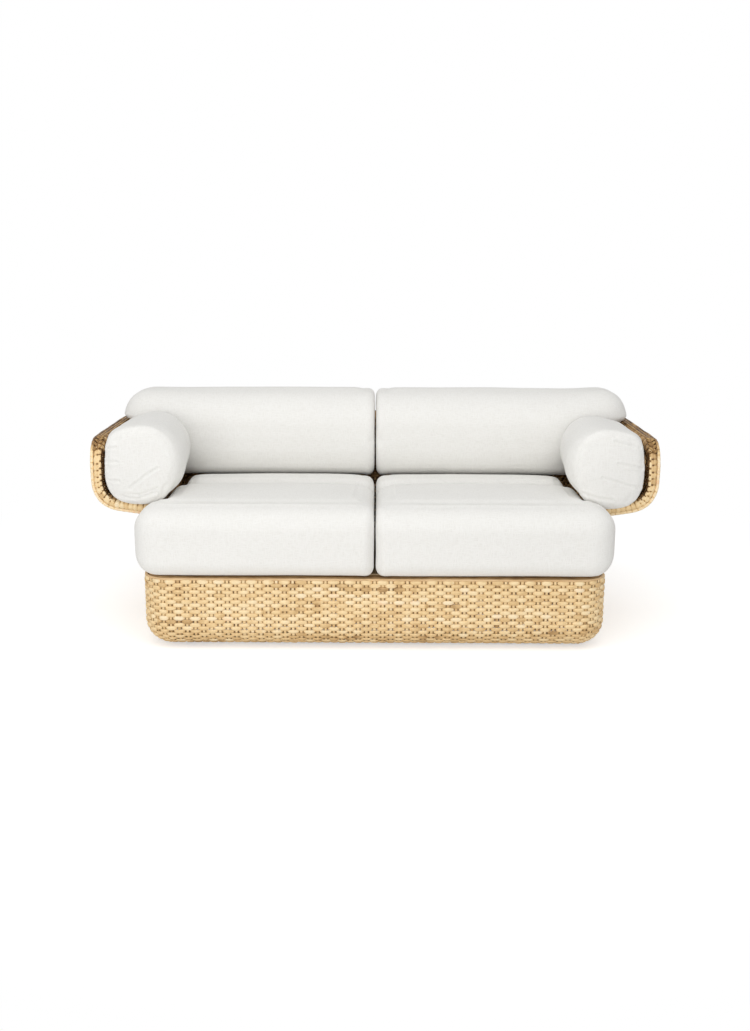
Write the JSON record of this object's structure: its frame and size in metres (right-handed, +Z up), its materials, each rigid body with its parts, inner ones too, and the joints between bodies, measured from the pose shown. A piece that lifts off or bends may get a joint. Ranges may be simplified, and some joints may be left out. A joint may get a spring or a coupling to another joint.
{
  "type": "basket sofa",
  "caption": "Basket sofa: a flared woven tub with a wrapped rim on bent poles, holding T-shaped seat cushions, back rolls and round arm bolsters in zipped covers.",
  "frame": {"origin": "centre of the sofa's footprint box, on the floor", "axes": "+X to the right of someone looking at the front, +Y to the back, +Z up"},
  "size_m": [1.77, 0.86, 0.7348],
  "materials": {
    "woven_cane": "satin",
    "wrapped_cane": "satin",
    "cane_pole": "satin",
    "deck_wood": "matte",
    "cover_fabric": "matte",
    "core_filling": "matte",
    "glide_plastic": "matte",
    "zip_metal": "satin"
  },
  "bodies": {
    "frame": {"base_ring": "cane_pole", "waist_ring": "cane_pole", "seat_ring": "cane_pole", "back_rim_pole": "cane_pole", "back_rim_wrap": "wrapped_cane", "arm_edge_pole_right": "cane_pole", "arm_edge_pole_left": "cane_pole", "arm_edge_wrap_right": "wrapped_cane", "arm_edge_wrap_left": "wrapped_cane", "arm_rib_1_right": "cane_pole", "arm_rib_1_left": "cane_pole", "arm_rib_2_right": "cane_pole", "arm_rib_2_left": "cane_pole", "back_rib_1": "cane_pole", "back_rib_2": "cane_pole", "back_rib_3": "cane_pole", "corner_post_front_right": "cane_pole", "corner_post_front_left": "cane_pole", "corner_post_rear_right": "cane_pole", "corner_post_rear_left": "cane_pole", "front_upright_right": "cane_pole", "front_upright_left": "cane_pole", "cross_rail_right": "cane_pole", "cross_rail_left": "cane_pole", "deck_slat_1": "deck_wood", "deck_slat_2": "deck_wood", "deck_slat_3": "deck_wood", "deck_slat_4": "deck_wood", "deck_slat_5": "deck_wood", "glide_front_right": "glide_plastic", "glide_front_left": "glide_plastic", "glide_rear_right": "glide_plastic", "glide_rear_left": "glide_plastic", "front_weave": "woven_cane", "front_rim_braid": "wrapped_cane", "side_weave_right": "woven_cane", "side_weave_left": "woven_cane", "back_weave": "woven_cane", "arm_lining_right": "woven_cane", "arm_lining_left": "woven_cane", "back_lining": "woven_cane"},
    "seat_cushion_right": {"seat_cover_right": "cover_fabric", "seat_core_right": "core_filling"},
    "seat_zip_right": {"seat_zip_slider_right": "zip_metal"},
    "seat_cushion_left": {"seat_cover_left": "cover_fabric", "seat_core_left": "core_filling"},
    "seat_zip_left": {"seat_zip_slider_left": "zip_metal"},
    "back_roll_right": {"back_roll_cover_right": "cover_fabric", "back_roll_core_right": "core_filling"},
    "back_roll_zip_right": {"back_roll_zip_slider_right": "zip_metal"},
    "back_roll_left": {"back_roll_cover_left": "cover_fabric", "back_roll_core_left": "core_filling"},
    "back_roll_zip_left": {"back_roll_zip_slider_left": "zip_metal"},
    "bolster_right": {"bolster_cover_right": "cover_fabric", "bolster_core_right": "core_filling"},
    "bolster_zip_right": {"bolster_zip_slider_right": "zip_metal"},
    "bolster_left": {"bolster_cover_left": "cover_fabric", "bolster_core_left": "core_filling"},
    "bolster_zip_left": {"bolster_zip_slider_left": "zip_metal"}
  },
  "joints": [
    {"name": "seat_cushion_right_slide_out", "type": "slide", "parent": "frame", "child": "seat_cushion_right", "axis": [0, -1, 0], "range_m": [0, 0.55]},
    {"name": "seat_zip_right_run", "type": "slide", "parent": "seat_cushion_right", "child": "seat_zip_right", "axis": [1, 0, 0], "range_m": [0, 0.4]},
    {"name": "seat_cushion_left_slide_out", "type": "slide", "parent": "frame", "child": "seat_cushion_left", "axis": [0, -1, 0], "range_m": [0, 0.55]},
    {"name": "seat_zip_left_run", "type": "slide", "parent": "seat_cushion_left", "child": "seat_zip_left", "axis": [-1, 0, 0], "range_m": [0, 0.4]},
    {"name": "back_roll_right_lift_out", "type": "slide", "parent": "frame", "child": "back_roll_right", "axis": [0, 0, 1], "range_m": [0, 0.32]},
    {"name": "back_roll_zip_right_run", "type": "slide", "parent": "back_roll_right", "child": "back_roll_zip_right", "axis": [1, 0, 0], "range_m": [0, 0.48]},
    {"name": "back_roll_left_lift_out", "type": "slide", "parent": "frame", "child": "back_roll_left", "axis": [0, 0, 1], "range_m": [0, 0.32]},
    {"name": "back_roll_zip_left_run", "type": "slide", "parent": "back_roll_left", "child": "back_roll_zip_left", "axis": [-1, 0, 0], "range_m": [0, 0.48]},
    {"name": "bolster_right_lift_out", "type": "slide", "parent": "frame", "child": "bolster_right", "axis": [0, 0, 1], "range_m": [0, 0.3]},
    {"name": "bolster_zip_right_run", "type": "slide", "parent": "bolster_right", "child": "bolster_zip_right", "axis": [0, 1, 0], "range_m": [0, 0.18]},
    {"name": "bolster_left_lift_out", "type": "slide", "parent": "frame", "child": "bolster_left", "axis": [0, 0, 1], "range_m": [0, 0.3]},
    {"name": "bolster_zip_left_run", "type": "slide", "parent": "bolster_left", "child": "bolster_zip_left", "axis": [0, 1, 0], "range_m": [0, 0.18]}
  ]
}
